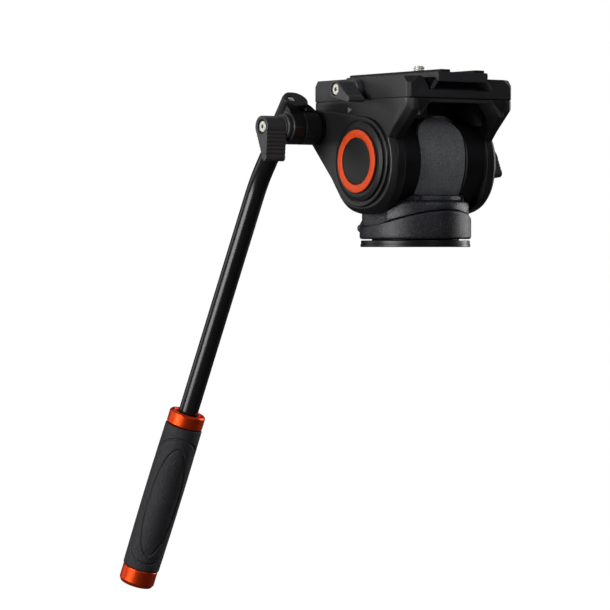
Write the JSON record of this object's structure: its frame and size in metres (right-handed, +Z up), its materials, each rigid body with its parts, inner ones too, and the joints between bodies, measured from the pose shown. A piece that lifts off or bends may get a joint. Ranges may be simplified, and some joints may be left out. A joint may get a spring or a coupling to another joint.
{
  "type": "fluid video head",
  "caption": "Tripod video head: flat round base, panning housing, two-cheek tilting cradle with a sliding quick-release plate, wing-knob locks and a cranked pan bar with a rubber grip.",
  "frame": {"origin": "centre of the base flange's underside, on the pan axis, where the tripod's screw enters", "axes": "+Z up along the pan axis, -Y towards the lens side, +X towards the operator's left; the tilt axis is parallel to X"},
  "size_m": [0.1513, 0.1949, 0.2923],
  "materials": {
    "black_casting": "satin black powder coat, very fine grain",
    "black_coarse": "coarse sparkling black wrinkle coat",
    "black_plastic": "fine matt black moulding",
    "grey_panel": "mid grey fine moulded texture",
    "orange_ring": "orange anodised, satin",
    "orange_grip_ring": "orange anodised, bright turned metal",
    "grip_rubber": "dark grey rubber with a fine leather-like grain",
    "strip_rubber": "black rubber, fine ribs",
    "black_tube": "semi-gloss black coated tube",
    "steel": "plain machined",
    "black_steel": "blackened steel",
    "bright_screw": "bright nickel plate",
    "brass": "plain machined",
    "nylon": "plain moulded"
  },
  "bodies": {
    "base": {"base_flange": "black_casting", "thread_insert": "brass", "pan_spindle": "steel", "pan_brake_drum": "steel", "pan_bearing": "nylon", "pan_retaining_nut": "steel", "base_screw_1": "steel", "base_screw_2": "steel", "base_screw_3": "steel"},
    "pan_housing": {"pan_lower_shell": "black_coarse", "pan_upper_casting": "black_coarse", "front_panel": "grey_panel", "rear_panel": "grey_panel", "shell_screw_1": "steel", "shell_screw_2": "steel", "shell_screw_3": "steel", "pan_brake_shoe": "brass", "tilt_bearing_right": "nylon", "tilt_bearing_left": "nylon", "tilt_damper_stator": "steel"},
    "pan_lock": {"pan_lock_stud": "steel", "pan_lock_knob": "black_plastic"},
    "cradle": {"right_cheek": "black_casting", "left_cheek": "black_casting", "cradle_platform": "black_casting", "tilt_axle": "steel", "tilt_damper_rotor": "brass", "right_side_cap": "black_plastic", "accent_ring": "orange_ring", "centre_cap": "black_plastic", "left_side_cap": "black_plastic", "right_rosette": "black_steel", "left_rosette": "black_steel", "clamp_body": "black_casting", "platform_screw_1": "black_steel", "platform_screw_2": "black_steel", "platform_screw_3": "black_steel", "platform_screw_4": "black_steel"},
    "tilt_lock": {"tilt_lock_knob": "black_plastic", "tilt_lock_cap": "bright_screw"},
    "jaw": {"clamp_jaw": "black_steel"},
    "plate_lock": {"clamp_knob": "black_plastic", "clamp_knob_screw": "bright_screw"},
    "plate": {"quick_release_plate": "black_casting", "rubber_strip_right": "strip_rubber", "rubber_strip_left": "strip_rubber"},
    "screw_carriage": {"screw_retainer": "steel"},
    "screw": {"camera_screw": "bright_screw"},
    "pan_bar": {"handle_rosette_hub": "black_casting", "handle_clamp": "black_casting", "tube_screw": "bright_screw", "pan_bar_tube": "black_tube", "grip_collar": "orange_grip_ring", "grip_sleeve": "grip_rubber", "grip_end_cap": "orange_grip_ring"},
    "bar_lock": {"handle_knob": "black_plastic", "handle_bolt": "bright_screw"}
  },
  "joints": [
    {"name": "pan", "type": "hinge", "parent": "base", "child": "pan_housing", "pos_m": [0, 0, 0], "axis": [0, 0, 1], "continuous": true},
    {"name": "pan_lock_turn", "type": "hinge", "parent": "pan_housing", "child": "pan_lock", "pos_m": [0, 0.03, 0.0104], "axis": [0, 1, 0], "range_deg": [0, 180]},
    {"name": "tilt", "type": "hinge", "parent": "pan_housing", "child": "cradle", "pos_m": [0, 0, 0.0463], "axis": [1, 0, 0], "range_deg": [-60, 90]},
    {"name": "tilt_lock_turn", "type": "hinge", "parent": "cradle", "child": "tilt_lock", "pos_m": [0.038, 0, 0.0463], "axis": [1, 0, 0], "range_deg": [-90, 90]},
    {"name": "clamp_knob_turn", "type": "hinge", "parent": "cradle", "child": "plate_lock", "pos_m": [-0.036, 0.0045, 0.085], "axis": [1, 0, 0], "range_deg": [0, 360]},
    {"name": "jaw_slide", "type": "slide", "parent": "cradle", "child": "jaw", "axis": [-1, 0, 0], "range_m": [0, 0.001]},
    {"name": "plate_slide", "type": "slide", "parent": "cradle", "child": "plate", "axis": [0, 1, 0], "range_m": [-0.02, 0.02]},
    {"name": "screw_slide", "type": "slide", "parent": "plate", "child": "screw_carriage", "axis": [0, 1, 0], "range_m": [-0.011, 0.015]},
    {"name": "screw_spin", "type": "hinge", "parent": "screw_carriage", "child": "screw", "pos_m": [0, -0.0033, 0.0884], "axis": [0, 0, 1], "continuous": true},
    {"name": "bar_angle", "type": "hinge", "parent": "cradle", "child": "pan_bar", "pos_m": [-0.04, 0.041, 0.0655], "axis": [1, 0, 0], "range_deg": [-60, 110]},
    {"name": "bar_knob_turn", "type": "hinge", "parent": "pan_bar", "child": "bar_lock", "pos_m": [-0.059, 0.041, 0.0655], "axis": [1, 0, 0], "range_deg": [-180, 180]}
  ],
  "couplings": [
    {"joint": "clamp_knob_turn", "follows": "jaw_slide", "rad_per_m": 6283.2}
  ]
}
